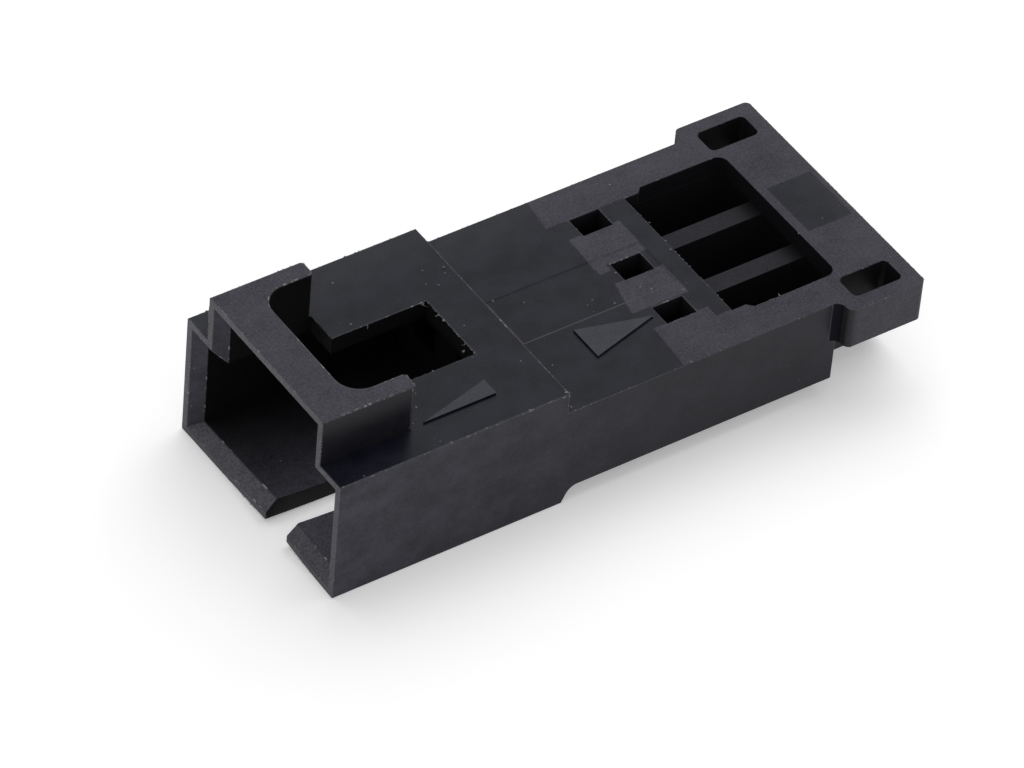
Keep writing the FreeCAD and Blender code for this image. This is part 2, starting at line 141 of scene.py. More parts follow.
class FinishSettings(bpy.types.PropertyGroup):
    """Colours and textures of the black plastic, with tones of painted shade and highlight."""

    eroded_dark: bpy.props.FloatVectorProperty(
        name="Eroded pits", description="Darker grains of plastic moulded on spark eroded steel",
        default=(0.016, 0.0145, 0.023), size=3, subtype="COLOR", min=0.0, max=1.0)
    eroded_light: bpy.props.FloatVectorProperty(
        name="Eroded high spots", description="Lighter grains of the eroded faces",
        default=(0.065, 0.0612, 0.077), size=3, subtype="COLOR", min=0.0, max=1.0)
    # also the painted shade tone of the necks and of the sides towards the rear
    polished_and_shade_dark: bpy.props.FloatVectorProperty(
        name="Polished plastic", description="Plastic moulded on polished steel",
        default=(0.0032, 0.0037, 0.0082), size=3, subtype="COLOR", min=0.0, max=1.0)
    polished_light: bpy.props.FloatVectorProperty(
        name="Polished high spots", description="Lighter grains of the polished faces",
        default=(0.0118, 0.013, 0.0205), size=3, subtype="COLOR", min=0.0, max=1.0)
    side_dark: bpy.props.FloatVectorProperty(
        name="Side faces", description="Darker grains of the finely ground sides",
        default=(0.0155, 0.0145, 0.0245), size=3, subtype="COLOR", min=0.0, max=1.0)
    side_light: bpy.props.FloatVectorProperty(
        name="Side high spots", description="Lighter grains of the finely ground sides",
        default=(0.0585, 0.0565, 0.0775), size=3, subtype="COLOR", min=0.0, max=1.0)
    mark_dark: bpy.props.FloatVectorProperty(
        name="Raised marks", description="Darker grains of the arrow and the wedge",
        default=(0.025, 0.026, 0.033), size=3, subtype="COLOR", min=0.0, max=1.0)
    mark_light: bpy.props.FloatVectorProperty(
        name="Raised marks' high spots", description="Lighter grains of the arrow and the wedge",
        default=(0.047, 0.05, 0.06), size=3, subtype="COLOR", min=0.0, max=1.0)
    # painted shade: darker tones for the sides of the bridge's legs
    leg_shade_dark: bpy.props.FloatVectorProperty(
        name="Leg sides", description="Darker grains of the bridge's legs",
        default=(0.0085, 0.0082, 0.0115), size=3, subtype="COLOR", min=0.0, max=1.0)
    leg_shade_light: bpy.props.FloatVectorProperty(
        name="Leg sides' high spots", description="Lighter grains of the bridge's legs",
        default=(0.0165, 0.016, 0.0215), size=3, subtype="COLOR", min=0.0, max=1.0)
    # painted highlight: the light tone stands for the highlight on the mouth's end face and lead-in
    land_sheen: bpy.props.FloatVectorProperty(
        name="Mouth rim", description="Lighter grains of the mouth's end face and lead-in",
        default=(0.108, 0.1025, 0.121), size=3, subtype="COLOR", min=0.0, max=1.0)
    # painted shade: one flat dark tone in the hollows of the mouth, the key slot and the bridge
    hollow_shade_colour: bpy.props.FloatVectorProperty(
        name="Core faces", description="Plastic that shrank onto the core, inside the mouth",
        default=(0.009, 0.009, 0.0095), size=3, subtype="COLOR", min=0.0, max=1.0)
    mouth_floor_dark: bpy.props.FloatVectorProperty(
        name="Mouth floor", description="Darker grains of the near side of the mouth's floor",
        default=(0.03, 0.0285, 0.04), size=3, subtype="COLOR", min=0.0, max=1.0)
    mouth_floor_light: bpy.props.FloatVectorProperty(
        name="Mouth floor's high spots", description="Lighter grains of the near side of the floor",
        default=(0.092, 0.088, 0.11), size=3, subtype="COLOR", min=0.0, max=1.0)
    # painted shade: one flat dark tone inside the bores, the lock windows, the bay and the ear
    # slots
    bore_shade_colour: bpy.props.FloatVectorProperty(
        name="Bore faces", description="Plastic inside the bores, the lock windows and the bay",
        default=(0.013, 0.0127, 0.015), size=3, subtype="COLOR", min=0.0, max=1.0)
    # pale tone of torn plastic, dust and burrs, which on the broken edges also paints highlight
    # dots
    torn_and_glint_colour: bpy.props.FloatVectorProperty(
        name="Torn plastic", description="Pale dots where an edge was torn or scuffed",
        default=(0.26, 0.265, 0.275), size=3, subtype="COLOR", min=0.0, max=1.0)
    dust_colour: bpy.props.FloatVectorProperty(
        name="Dust", description="Small pale flecks on the faces",
        default=(0.2, 0.21, 0.22), size=3, subtype="COLOR", min=0.0, max=1.0)
    eroded_roughness: bpy.props.FloatProperty(
        name="Eroded roughness", description="Roughness of the eroded faces",
        default=0.52, min=0.0, max=1.0, subtype="FACTOR")
    polished_roughness: bpy.props.FloatProperty(
        name="Polished roughness", description="Roughness of the polished faces",
        default=0.26, min=0.0, max=1.0, subtype="FACTOR")
    grain: bpy.props.FloatProperty(
        name="Grain", description="Size of one grain of the eroded texture",
        default=0.08 * MM, unit="LENGTH", precision=6)
    depth: bpy.props.FloatProperty(
        name="Grain depth", description="Height of the eroded texture",
        default=0.01 * MM, unit="LENGTH", precision=6)
    patch_edge: bpy.props.FloatProperty(
        name="Patch edge", description="Width over which one texture gives way to the next",
        default=0.06 * MM, unit="LENGTH", precision=6)


class StageSettings(bpy.types.PropertyGroup):
    """The studio round the housing."""

    floor_colour: bpy.props.FloatVectorProperty(
        name="Floor colour", description="White paper under the housing",
        default=(0.9, 0.9, 0.9), size=3, subtype="COLOR", min=0.0, max=1.0)
    floor_size: bpy.props.FloatProperty(
        name="Floor size", description="Side of the square of paper",
        default=2.0, unit="LENGTH")
    floor_glow: bpy.props.FloatProperty(
        name="Floor glow", description="Light added where the paper is seen or mirrored",
        default=0.3, min=0.0, max=1.0)
    sky: bpy.props.FloatProperty(
        name="Room light", description="Strength of the light from all round",
        default=0.45, min=0.0, max=2.0)
    box_light: bpy.props.FloatProperty(
        name="Softbox light", description="Radiance of the softbox above the housing",
        default=1.7, min=0.0, max=5.0)
    box_size: bpy.props.FloatProperty(
        name="Softbox size", description="Side of the square softbox",
        default=0.5, unit="LENGTH")
    box_place: bpy.props.FloatVectorProperty(
        name="Softbox place", description="Where the softbox hangs",
        default=(0.14, 0.16, 0.42), size=3, subtype="TRANSLATION")
    lens: bpy.props.FloatProperty(
        name="Lens", description="Focal length on a 36 mm sensor, in millimetres",
        default=262.93, min=1.0)
    camera_place: bpy.props.FloatVectorProperty(
        name="Camera place", description="Where the camera stands, in metres",
        default=(-0.115044, -0.148566, 0.175906), size=3, subtype="TRANSLATION")
    camera_turn: bpy.props.FloatVectorProperty(
        name="Camera turn", description="Rotation of the camera",
        default=(math.radians(46.8125), math.radians(-3.9301), math.radians(-33.7069)), size=3,
        subtype="EULER")


def clear_selection():
    """Nothing stays selected, so that the next operator acts on its own piece alone."""
    for thing in bpy.context.selected_objects:
        thing.select_set(False)


def make_active(piece):
    """Only this piece is selected and active."""
    clear_selection()
    piece.select_set(True)
    bpy.context.view_layer.objects.active = piece


def put(tree, kind, inputs=None, **settings):
    """A node with its settings, its plain values and its links."""
    made = tree.nodes.new(kind)
    for name, value in settings.items():
        setattr(made, name, value)
    for name, value in (inputs or {}).items():
        if isinstance(value, bpy.types.NodeSocket):
            tree.links.new(value, made.inputs[name])
        else:
            made.inputs[name].default_value = value
    return made


def maths(tree, operation, first, second=0.0, third=0.0, clamp=False):
    """The output of a Math node."""
    values = {0: first, 1: second, 2: third}
    return put(tree, "ShaderNodeMath", values, operation=operation, use_clamp=clamp).outputs[0]


def stretched(tree, value, gain, shift):
    """A value with its contrast raised by a gain, moved by a shift and kept between 0 and 1."""
    return maths(tree, "MULTIPLY_ADD", value, gain, shift, clamp=True)


def ramp(tree, along, start, end):
    """0 before one place along an axis, 1 after another, and even between the two."""
    slope = 1.0 / (end - start)
    return stretched(tree, along, slope, -start * slope)


def mix_colour(tree, share, first, second):
    """Two colours, mixed by a mask."""
    made = put(tree, "ShaderNodeMix", {0: share, 6: first, 7: second}, data_type="RGBA")
    return made.outputs[2]


def soft_noise(tree, place, scale, detail, roughness=0.5):
    """Noise round 0.5, with so many cells to the metre."""
    values = {"Vector": place, "Scale": scale, "Detail": detail, "Roughness": roughness}
    return put(tree, "ShaderNodeTexNoise", values).outputs["Fac"]


def axes(tree, vector):
    """The three parts of a vector, by the names X, Y and Z."""
    return put(tree, "ShaderNodeSeparateXYZ", {0: vector}).outputs


def new_group(name, inputs, outputs):
    """An empty node group with its sockets, and its two end nodes."""
    tree = bpy.data.node_groups.new(name, "ShaderNodeTree")
    for direction, sockets in (("INPUT", inputs), ("OUTPUT", outputs)):
        for socket, kind in sockets:
            tree.interface.new_socket(socket, in_out=direction, socket_type="NodeSocket" + kind)
    return tree, tree.nodes.new("NodeGroupInput").outputs, tree.nodes.new("NodeGroupOutput").inputs


# The eroded grain: how high its pits are against its noise, the scale of its blotches and of its
# clouds against one grain's, how much the blotches add, and how the flow draws the clouds out.
PIT_HEIGHT = 0.5
BLOTCH_SCALE = 0.22
CLOUD_SCALE = 0.09
BLOTCH_SHARE = 0.2
FLOW_DRAW = (0.8, 1.0, 1.0)


def grain_group():
    """Spark eroded texture: fine rounded pits, their mottling, and slow clouds along the flow."""
    tree, given, result = new_group(
        "eroded_grain", [("Vector", "Vector"), ("Size", "Float"), ("Fine", "Float")],
        [("Height", "Float"), ("Mottle", "Float")])
    place = given["Vector"]
    per_metre = maths(tree, "DIVIDE", 1.0, given["Size"])
    fine = soft_noise(tree, place, per_metre, detail=3.0, roughness=0.7)
    pits = put(tree, "ShaderNodeTexVoronoi", {
        "Vector": place, "Scale": per_metre, "Smoothness": 0.6, "Randomness": 1.0},
        feature="SMOOTH_F1")
    height = maths(tree, "MULTIPLY_ADD", pits.outputs["Distance"], PIT_HEIGHT, fine)
    slow_scale = maths(tree, "MULTIPLY", per_metre, BLOTCH_SCALE)
    slow = soft_noise(tree, place, slow_scale, detail=4.0, roughness=0.75)
    blotches = maths(tree, "MULTIPLY_ADD", slow, BLOTCH_SHARE, fine)
    spread = stretched(tree, blotches, gain=3.4, shift=-1.54)
    drawn_out = put(tree, "ShaderNodeMapping", {"Vector": place, "Scale": FLOW_DRAW}).outputs[0]
    flow_scale = maths(tree, "MULTIPLY", per_metre, CLOUD_SCALE)
    flow = soft_noise(tree, drawn_out, flow_scale, detail=3.0, roughness=0.6)
    clouds = stretched(tree, flow, gain=3.4, shift=-1.2)
    slow_share = maths(tree, "SUBTRACT", 1.0, given["Fine"])
    fine_part = maths(tree, "MULTIPLY", spread, given["Fine"])
    mottle = maths(tree, "MULTIPLY_ADD", clouds, slow_share, fine_part)
    tree.links.new(height, result["Height"])
    tree.links.new(mottle, result["Mottle"])


# Cells to the metre of the noise that frays a patch's sides.
FRAY_SCALE = 6.0 / MM


def patch_group():
    """Mask of a four-sided patch seen from above, its front side aslant and its sides ragged."""
    tree, given, result = new_group(
        "insert_patch",
        [("Vector", "Vector"), ("Low", "Vector"), ("High", "Vector"), ("Slant", "Float"),
         ("Soft", "Float")],
        [("Mask", "Float")])
    place, low, high = (axes(tree, given[name]) for name in ("Vector", "Low", "High"))
    ragged = soft_noise(tree, given["Vector"], FRAY_SCALE, detail=2.0)
    wobble = maths(tree, "MULTIPLY", maths(tree, "SUBTRACT", ragged, 0.5), given["Soft"])
    across = maths(tree, "SUBTRACT", place["Y"], low["Y"])
    start = maths(tree, "MULTIPLY_ADD", across, given["Slant"], low["X"])

    def inside(distance):
        share = maths(tree, "DIVIDE", maths(tree, "ADD", distance, wobble), given["Soft"])
        return maths(tree, "ADD", share, 0.5, clamp=True)

    sides = [
        inside(maths(tree, "SUBTRACT", place["X"], start)),
        inside(maths(tree, "SUBTRACT", high["X"], place["X"])),
        inside(across),
        inside(maths(tree, "SUBTRACT", high["Y"], place["Y"])),
    ]
    mask = sides[0]
    for side in sides[1:]:
        mask = maths(tree, "MULTIPLY", mask, side)
    tree.links.new(mask, result["Mask"])


# A speck's radius is at least this share of its size, and its rim rises this steeply.
LEAST_SPECK = 0.3
SPECK_RIM = 2.5


def speck_group():
    """Scattered specks: a few cells of a lattice hold one small round fleck each."""
    tree, given, result = new_group(
        "specks",
        [("Vector", "Vector"), ("Spacing", "Float"), ("Size", "Float"), ("Share", "Float")],
        [("Mask", "Float")])
    cells = put(tree, "ShaderNodeTexVoronoi", {
        "Vector": given["Vector"], "Scale": maths(tree, "DIVIDE", 1.0, given["Spacing"]),
        "Randomness": 1.0})
    tint = put(tree, "ShaderNodeSeparateColor", {0: cells.outputs["Color"]}).outputs
    chosen = maths(tree, "LESS_THAN", tint[0], given["Share"])
    reach = maths(tree, "MULTIPLY", maths(tree, "ADD", tint[1], LEAST_SPECK), given["Size"])
    away = maths(tree, "MULTIPLY", cells.outputs["Distance"], given["Spacing"])
    depth = maths(tree, "SUBTRACT", 1.0, maths(tree, "DIVIDE", away, reach))
    near = maths(tree, "MULTIPLY", depth, SPECK_RIM, clamp=True)
    tree.links.new(maths(tree, "MULTIPLY", chosen, near), result["Mask"])


def use_group(tree, name, **inputs):
    """A group placed in a material, with its values."""
    return put(tree, "ShaderNodeGroup", inputs, node_tree=bpy.data.node_groups[name]).outputs


# Eroded patches of the rear top face, where inserts and ejectors met the moulding: low and high
# corner in millimetres from the mouth, the slant of the front side, and how much paler it is.
PATCHES = (
    ((13.64, 3.27), (24.0, 6.0), 0.12, 0.0),
    ((13.92, 0.74), (16.08, 2.40), 0.05, 0.035),
    ((13.96, 0.45), (14.42, 0.90), 0.0, 0.03),
    ((13.79, -1.76), (16.12, -0.19), 0.23, 0.03),
    ((13.81, -6.0), (16.25, -2.72), 0.066, 0.01),
    ((16.2, -6.0), (24.0, -3.25), 0.0, 0.0),
    ((16.92, -3.6), (24.0, 3.6), 0.0, 0.0),
)
# The bare patch in the middle of the flange, which is polished: its corners and its slant.
FLANGE_PATCH = ((21.5, -1.3), (23.38, 1.24), 0.0)


def new_material(name):
    """An empty node material and its tree."""
    material = bpy.data.materials.new(name)
    material.use_nodes = True
    material.node_tree.nodes.clear()
    return material, material.node_tree


def new_plastic(name, finish, fine):
    """A new material's tree, its Object coordinates, and its grain."""
    _, tree = new_material(name)
    place = put(tree, "ShaderNodeTexCoord").outputs["Object"]
    grain = use_group(tree, "eroded_grain", Vector=place, Size=finish.grain, Fine=fine)
    return tree, place, grain


def plastic(tree, colour, roughness, height, depth, specular):
    """The plastic's own shader, with its bump, linked to the output."""
    bump = put(tree, "ShaderNodeBump", {"Height": height, "Distance": depth, "Strength": 1.0})
    shader = put(tree, "ShaderNodeBsdfPrincipled", {
        "Base Color": colour, "Roughness": roughness, "Normal": bump.outputs["Normal"],
        "Specular IOR Level": specular})
    put(tree, "ShaderNodeOutputMaterial", {"Surface": shader.outputs[0]})


def colour4(values):
    """A colour property as a node colour."""
    return (*values, 1.0)


def two_tones(tree, mask, dark, light):
    """Two colour properties, mixed by a mask."""
    return mix_colour(tree, mask, colour4(dark), colour4(light))


# How much rougher the lightest grains are than the darkest ones.
GRAIN_ROUGHNESS = 0.06


def plain_finish(name, finish, colours, roughness, relief, specular, dusty, fine, shade_fade):
    """One finish of the plastic all over: grain in two tones, its relief and its dust.

    A shade fade is painted shade: an axis, the two places on it between which the tone gives way,
    in millimetres from the middle of the mouth, the dark tone that it gives way to, and how far it
    does so.
    """
    tree, place, grain = new_plastic(name, finish, fine)
    tint = two_tones(tree, grain["Mottle"], *colours)
    if shade_fade:
        axis, start, end, goal, most = shade_fade
        origin = LOW.x if axis == "X" else 0.0
        share = ramp(tree, axes(tree, place)[axis], origin + start * MM, origin + end * MM)
        tint = mix_colour(tree, maths(tree, "MULTIPLY", share, most), tint, colour4(goal))
    tint = add_dust(tree, finish, place, tint, dusty)
    lowest = roughness - GRAIN_ROUGHNESS / 2
    rough = maths(tree, "MULTIPLY_ADD", grain["Mottle"], GRAIN_ROUGHNESS, lowest)
    plastic(tree, tint, rough, grain["Height"], finish.depth * relief, specular)


# How strongly the faint flecks show.
FAINT_DUST = 0.45


def add_dust(tree, finish, place, tint, dusty):
    """The tint with sparse bright flecks and closer faint ones."""
    faint = use_group(
        tree, "specks", Vector=place, Spacing=0.3 * MM, Size=0.045 * MM,
        Share=0.12 * dusty)["Mask"]
    shown = maths(tree, "MULTIPLY", faint, FAINT_DUST)
    tint = mix_colour(tree, shown, tint, colour4(finish.torn_and_glint_colour))
    bright = use_group(
        tree, "specks", Vector=place, Spacing=0.6 * MM, Size=0.05 * MM,
        Share=0.045 * dusty)["Mask"]
    return mix_colour(tree, bright, tint, colour4(finish.dust_colour))


# The top face: share of fine grain in its eroded patches and in the polished skin round them, the
# skin's relief against the patches', and the specular level of both.
TOP_FINE = 0.75
SKIN_FINE = 0.28
SKIN_RELIEF = 0.12
TOP_SPECULAR = 0.205


def top_finish(finish):
    """The top face: polished, with eroded patches over the rear."""
    tree, place, grain = new_plastic("top_face_plastic", finish, TOP_FINE)
    skin = use_group(tree, "eroded_grain", Vector=place, Size=finish.grain, Fine=SKIN_FINE)
    mask = pale = 0.0
    for low, high, slant, paler in PATCHES:
        patch = patch_mask(tree, place, low, high, slant, finish.patch_edge)
        mask = maths(tree, "MAXIMUM", mask, patch)
        pale = maths(tree, "MAXIMUM", pale, maths(tree, "MULTIPLY", patch, paler))
    bare = patch_mask(tree, place, *FLANGE_PATCH, finish.patch_edge)
    mask = maths(tree, "MULTIPLY", mask, maths(tree, "SUBTRACT", 1.0, bare))
    eroded = two_tones(tree, grain["Mottle"], finish.eroded_dark, finish.eroded_light)
    eroded = mix_colour(tree, pale, eroded, colour4(finish.torn_and_glint_colour))
    polished = two_tones(tree, skin["Mottle"], finish.polished_and_shade_dark, finish.polished_light)
    tint = mix_colour(tree, mask, polished, eroded)
    tint = mix_colour(tree, rim_mask(tree, place), tint, colour4(finish.torn_and_glint_colour))
    tint = add_dust(tree, finish, place, tint, dusty=1.0)
    smooth = maths(
        tree, "MULTIPLY_ADD", grain["Mottle"], GRAIN_ROUGHNESS, finish.polished_roughness)
    rise = finish.eroded_roughness - finish.polished_roughness
    roughness = maths(tree, "MULTIPLY_ADD", mask, rise, smooth)
    share = maths(tree, "MULTIPLY_ADD", mask, 1.0 - SKIN_RELIEF, SKIN_RELIEF)
    height = maths(tree, "MULTIPLY", grain["Height"], share)
    plastic(tree, tint, roughness, height, finish.depth, TOP_SPECULAR)


# The top skin pales between these two places across it, and over this length before the wire end,
# and at most this much.
PALE_SIDE = (2.6 * MM, 4.6 * MM)
PALE_LENGTH = 1.4 * MM
PALE_SHARE = 0.044


def rim_mask(tree, place):
    """A faint mask towards the far side and the wire end, where the skin is a little paler."""
    parts = axes(tree, place)
    side = ramp(tree, parts["Y"], *PALE_SIDE)
    end = ramp(tree, parts["X"], HIGH.x - PALE_LENGTH, HIGH.x)
    return maths(tree, "MULTIPLY", maths(tree, "MAXIMUM", side, end), PALE_SHARE)


def patch_mask(tree, place, low, high, slant, soft):
    """Mask of one patch, given in millimetres from the mouth."""
    return use_group(
        tree, "insert_patch", Vector=place, Low=from_mouth(*low), High=from_mouth(*high),
        Slant=slant, Soft=soft)["Mask"]


def edge_wear_and_glint_finish(finish):
    """Broken edges with painted highlight: paler, with pale dots of glint and of torn skin."""
    tree, place, grain = new_plastic("edge_wear_and_glint_plastic", finish, fine=0.6)
    tint = two_tones(tree, grain["Mottle"], finish.mark_dark, finish.mark_light)
    stretches = soft_noise(tree, place, 1.0 / (0.8 * MM), detail=1.0)
    often = stretched(tree, stretches, gain=4.0, shift=-1.5)
    # painted highlight: pale dots for the glints that the edges catch, partly torn skin
    torn_and_glints = use_group(
        tree, "specks", Vector=place, Spacing=0.17 * MM, Size=0.1 * MM, Share=0.55)["Mask"]
    share = maths(tree, "MULTIPLY", torn_and_glints, often)
    tint = mix_colour(tree, share, tint, colour4(finish.torn_and_glint_colour))
    roughness = finish.eroded_roughness - 0.12
    plastic(tree, tint, roughness, grain["Height"], finish.depth, specular=0.32)


def burr_finish(finish):
    """Torn crumbs and threads, some as dark as the skin and some pale."""
    tree, place, grain = new_plastic("burr_plastic", finish, fine=0.9)
    patches = soft_noise(tree, place, 1.0 / (0.35 * MM), detail=2.0)
    pale = stretched(tree, patches, gain=3.5, shift=-1.6)
    tint = two_tones(tree, pale, finish.eroded_light, finish.torn_and_glint_colour)
    roughness = finish.eroded_roughness - 0.1
    plastic(tree, tint, roughness, grain["Height"], finish.depth, specular=0.4)


def build_finishes(finish):
    """The shared effects, and all the plastic's materials."""
    grain_group()
    patch_group()
    speck_group()
    eroded = (finish.eroded_dark, finish.eroded_light)
    polished = (finish.polished_and_shade_dark, finish.polished_light)
    side = (finish.side_dark, finish.side_light)
    mark = (finish.mark_dark, finish.mark_light)
    # painted shade on the legs' sides
    leg_shade = (finish.leg_shade_dark, finish.leg_shade_light)
    # painted highlight on the mouth's rim
    rim_sheen = (finish.eroded_dark, finish.land_sheen)
    level = (finish.mouth_floor_dark, finish.mouth_floor_light)
    rib = (finish.bore_shade_colour, finish.mark_dark)
    # painted shade: flat dark tones in the hollows, the bores and the necks
    hollow_shade = (finish.hollow_shade_colour, finish.hollow_shade_colour)
    bore_shade = (finish.bore_shade_colour, finish.bore_shade_colour)
    neck_shade = (finish.polished_and_shade_dark, finish.polished_and_shade_dark)
    # painted shade: the sides darken towards the rear, the mouth's floor towards its far side, the
    # ribs towards the bay's end and the ears' rounds towards the groove in front of them
    shade_to_rear = ("X", 0.0, 14.0, finish.polished_and_shade_dark, 0.76)
    shade_to_far_side = ("Y", -2.0, 4.0, finish.hollow_shade_colour, 1.0)
    shade_to_bay_end = ("X", 20.1, 21.2, finish.hollow_shade_colour, 1.0)
    shade_to_ear_front = ("X", 20.85, 20.35, finish.hollow_shade_colour, 1.0)
    rough, smooth = finish.eroded_roughness, finish.polished_roughness
    # name: two tones, roughness, relief, specular level, dust, share of fine grain, painted shade
    # fade
    plain = {
        "eroded_plastic": (eroded, rough, 1.0, 0.24, 1.0, 0.75, None),
        "side_plastic": (side, smooth + 0.06, 0.32, 0.18, 0.8, 0.4, shade_to_rear),
        "polished_plastic": (polished, smooth + 0.04, 0.3, 0.22, 0.8, 0.35, None),
        "leg_shade_plastic": (leg_shade, smooth + 0.06, 0.3, 0.2, 0.8, 0.4, None),
        "mouth_floor_plastic": (level, smooth + 0.1, 0.6, 0.12, 0.3, 0.7, shade_to_far_side),
        "rib_plastic": (rib, smooth + 0.1, 0.3, 0.1, 0.3, 0.75, shade_to_bay_end),
        "ear_plastic": (eroded, rough, 1.0, 0.24, 1.0, 0.75, shade_to_ear_front),
        "hollow_shade_plastic": (hollow_shade, smooth + 0.1, 0.3, 0.05, 0.0, 0.75, None),
        "bore_shade_plastic": (bore_shade, smooth + 0.1, 0.3, 0.05, 0.0, 0.75, None),
        "neck_shade_plastic": (neck_shade, smooth + 0.1, 0.3, 0.05, 0.0, 0.75, None),
        "land_sheen_plastic": (rim_sheen, rough, 1.0, 0.3, 1.0, 0.75, None),
        "mark_plastic": (mark, rough - 0.1, 0.6, 0.22, 0.5, 0.75, None),
    }
    for name, values in plain.items():
        plain_finish(name, finish, *values)
    top_finish(finish)
    edge_wear_and_glint_finish(finish)
    burr_finish(finish)


class HOUSING_OT_finishes(bpy.types.Operator):
    """Makes the plastic's materials"""

    bl_idname = "housing.finishes"
    bl_label = "Plastic finishes"

    def execute(self, context):
        build_finishes(context.scene.housing_finish)
        return {"FINISHED"}


# A corner lies beside an edge, and not past it, between these shares of the edge's length.
BESIDE = (0.01, 0.99)


def is_crowded(edge, thin_strip):
    """Whether a corner of one of the edge's faces lies close beside it, as along a thin strip."""
    ends = [vertex.co for vertex in edge.verts]
    for face in edge.link_faces:
        for vertex in face.verts:
            foot, share = intersect_point_line(vertex.co, *ends)
            if BESIDE[0] < share < BESIDE[1] and (vertex.co - foot).length < thin_strip:
                return True
    return False


def is_convex_sharp(edge, size):
    """An outer edge that turns by more than the angle, and bounds no low wall, strip or facet."""
    length = edge.calc_length()
    if len(edge.link_faces) != 2 or length < size.shortest:
        return False
    if any(face.calc_area() < size.lowest_wall * length for face in edge.link_faces):
        return False
    if is_crowded(edge, size.thin_strip):
        return False
    return edge.is_convex and edge.calc_face_angle() > size.sharp


# The shell's finishes in the order of its material slots.
FINISHES = (
    "eroded_plastic", "side_plastic", "polished_plastic", "leg_shade_plastic", "mouth_floor_plastic",
    "hollow_shade_plastic", "bore_shade_plastic", "neck_shade_plastic", "rib_plastic", "ear_plastic", "land_sheen_plastic",
    "mark_plastic", "top_face_plastic", "edge_wear_and_glint_plastic")
(ERODED, SIDE, POLISHED, LEG_SHADE, MOUTH_FLOOR, HOLLOW_SHADE, BORE_SHADE, NECK_SHADE, RIB, EAR, LAND, MARK,
 TOP, EDGE) = range(len(FINISHES))
# An edge between two faces of these finishes was shaped by steel cores alone, and stays sharp.
CORED = (MOUTH_FLOOR, HOLLOW_SHADE, BORE_SHADE, RIB)

# Boxes that give a face its finish by where its centre is: low and high corner in millimetres
# from the mouth. The first box that holds the centre counts.
FINISH_BOXES = (
    # the ears' outer rounds
    (EAR, (20.39, -5.4, 2.5), (23.61, -5.0, 4.3)),
    (EAR, (20.39, 5.0, 2.5), (23.61, 5.4, 4.3)),
    # the necks in front of the ears, with painted shade
    (NECK_SHADE, (20.1, -5.13, 0.6), (20.75, -3.6, 4.2)),
    (NECK_SHADE, (20.1, 3.6, 0.6), (20.75, 5.13, 4.2)),
    # the round under the step behind the shroud
    (SIDE, (8.5, -4.9, 0.01), (9.5, 4.9, 0.68)),
    # the key slot's walls, and the mouth's floor and cavity; the walls and the cavity carry painted
    # shade
    (HOLLOW_SHADE, (-0.01, -2.0, 0.01), (6.7, -0.4, 0.69)),
    (MOUTH_FLOOR, (0.5, -4.2, 0.69), (9.0, 4.2, 0.72)),
    (HOLLOW_SHADE, (0.5, -4.2, 0.7), (9.0, 4.2, 5.1)),
    (HOLLOW_SHADE, (0.5, -2.9, 4.0), (9.0, 2.9, 6.9)),
    # the lock windows, the bores, the bay and the ear slots, with painted shade in their hollows
    (BORE_SHADE, (14.5, -2.8, 3.6), (15.9, 3.4, 4.24)),
    (BORE_SHADE, (8.9, -4.0, 1.0), (16.95, 4.0, 4.2)),
    (RIB, (16.85, -1.7, 3.49), (21.25, 1.7, 3.51)),
    (BORE_SHADE, (16.85, -3.55, 1.0), (21.25, 3.55, 4.2)),
    (BORE_SHADE, (21.1, -3.5, 1.0), (23.3, 3.5, 3.6)),
    (BORE_SHADE, (20.9, -4.9, 2.7), (23.3, -3.7, 4.2)),
    (BORE_SHADE, (20.9, 3.7, 2.7), (23.3, 4.9, 4.2)),
    # the sunk panel's walls
    (TOP, (9.6, -1.3, 4.23), (16.2, 1.3, 4.24)),
    # the lead-in of the mouth's floor, with the rim's painted highlight
    (LAND, (0.05, -4.3, 0.3), (0.5, 4.3, 0.69)),
    # the mouth's side chamfers, and the raised marks with their low walls
    (SIDE, (0.05, 3.9, 0.3), (0.5, 4.4, 5.0)),
    (SIDE, (0.05, 2.6, 4.5), (0.5, 3.6, 6.9)),
    (MARK, (4.0, -4.3, 5.18), (8.0, -2.5, 5.2)),
    (MARK, (11.4, -3.1, 4.32), (14.5, -1.4, 4.34)),
    (POLISHED, (4.0, -4.3, 5.12), (8.0, -2.5, 5.2)),
    (POLISHED, (11.4, -3.1, 4.26), (14.5, -1.4, 4.34)),
)


# The sunk panel on the rear top face: its two ends, half its width and its floor's height, in
# millimetres, and the range of its leaning walls' upward normals.
PANEL_ENDS = (9.7, 16.1)
PANEL_HALF = 1.2
PANEL_FLOOR = 4.22
PANEL_WALLS_UP = (0.8, 0.99)
# Heights of the top faces, in millimetres: the rear one, the sunk panel and the shroud's.
TOP_LEVELS = (4.25, PANEL_FLOOR, 5.11)
# Places nearer than this are the same, in millimetres.
NEAR = 0.01
# A face looks along an axis where that part of its normal is above this, and one whose largest
# part isn't above the second is slanted.
ALONG = 0.999
UNSLANTED = 0.9995
# A face looks down where the upward part of its normal is below this.
DOWN = -0.5
# The mouth's end face lies before this, and the sides of the bridge's legs lie above the second.
MOUTH_END = 0.02
LEGS_ABOVE = 5.2


